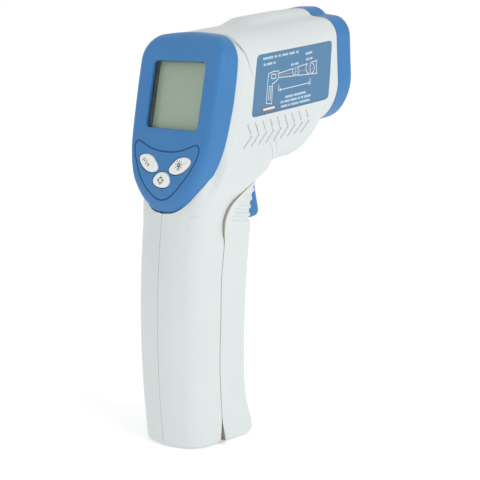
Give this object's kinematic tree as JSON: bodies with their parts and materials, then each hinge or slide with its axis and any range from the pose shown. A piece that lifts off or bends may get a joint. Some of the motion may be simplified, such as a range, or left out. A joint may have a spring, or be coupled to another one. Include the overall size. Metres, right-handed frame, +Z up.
{
  "type": "infrared thermometer",
  "caption": "Pistol-grip non-contact thermometer with a tilted display and keypad behind, a round optical funnel in its nose, a trigger, and a handle whose front opens for the battery.",
  "frame": {"origin": "middle of the object's bounding box, at the height of the handle's flat foot", "axes": "+Z up along the handle, +Y towards the nose that measures, +X to the user's right"},
  "size_m": [0.0428, 0.0897, 0.1597],
  "materials": {
    "white_shell": "satin moulded ABS, cool white",
    "blue_shell": "satin moulded ABS, mid blue",
    "button_white": "satin white",
    "grey_silicone": "matte silicone",
    "clear_window": "clear acrylic",
    "lcd_panel": "grey-green liquid crystal panel",
    "circuit_board": "green solder mask",
    "black_plastic": "matte black",
    "lens_film": "dark polished polymer lens",
    "steel": "zinc-plated steel",
    "brass": "turned brass",
    "battery_case": "dark wrapped steel case",
    "red_pvc": "red wire insulation",
    "label_film": "printed grey-blue film"
  },
  "bodies": {
    "body": {"left_housing": "white_shell", "right_housing": "white_shell", "battery_tray": "white_shell", "display_bezel": "blue_shell", "nose_cap": "blue_shell", "keypad_membrane": "grey_silicone", "lcd_window": "clear_window", "laser_window": "clear_window", "lcd_module": "lcd_panel", "lcd_backlight": "button_white", "main_pcb": "circuit_board", "sensor_board": "circuit_board", "controller_chip": "black_plastic", "buzzer": "black_plastic", "trigger_switch": "black_plastic", "sensor_barrel": "black_plastic", "ir_lens": "lens_film", "thermopile_sensor": "steel", "laser_module": "brass", "trigger_pin": "steel", "trigger_spring": "steel", "battery_door_pin": "steel", "housing_screw_1": "steel", "housing_screw_2": "steel", "housing_screw_3": "steel", "housing_screw_4": "steel", "pcb_screw_1": "steel", "pcb_screw_2": "steel", "pcb_screw_3": "steel", "pcb_screw_4": "steel", "battery_9v": "battery_case", "battery_snap": "black_plastic", "lead_red": "red_pvc", "lead_black": "black_plastic", "sensor_cable": "black_plastic", "laser_cable": "black_plastic", "right_label": "label_film", "left_label": "label_film"},
    "battery_door": {"battery_door": "white_shell"},
    "trigger": {"trigger": "blue_shell"},
    "button_units": {"button_units": "button_white"},
    "button_backlight": {"button_backlight": "button_white"},
    "button_laser": {"button_laser": "button_white"}
  },
  "joints": [
    {"name": "battery_door_hinge", "type": "hinge", "parent": "body", "child": "battery_door", "pos_m": [0, -0.0215, 0.0042], "axis": [-1, 0, 0], "range_deg": [0, 60]},
    {"name": "trigger_pull", "type": "hinge", "parent": "body", "child": "trigger", "pos_m": [0, -0.0035, 0.1075], "axis": [-1, 0, 0], "range_deg": [0, 6.5], "stiffness_Nm_per_rad": 0.9, "springref_deg": -3.44, "deforming": ["trigger_spring"]},
    {"name": "button_units_press", "type": "slide", "parent": "body", "child": "button_units", "axis": [0, 0.977, -0.213], "range_m": [0, 0.0008], "stiffness_N_per_m": 1500, "springref_m": -0.0004},
    {"name": "button_backlight_press", "type": "slide", "parent": "body", "child": "button_backlight", "axis": [0, 0.977, -0.213], "range_m": [0, 0.0008], "stiffness_N_per_m": 1500, "springref_m": -0.0004},
    {"name": "button_laser_press", "type": "slide", "parent": "body", "child": "button_laser", "axis": [0, 0.977, -0.213], "range_m": [0, 0.0008], "stiffness_N_per_m": 1500, "springref_m": -0.0004}
  ]
}
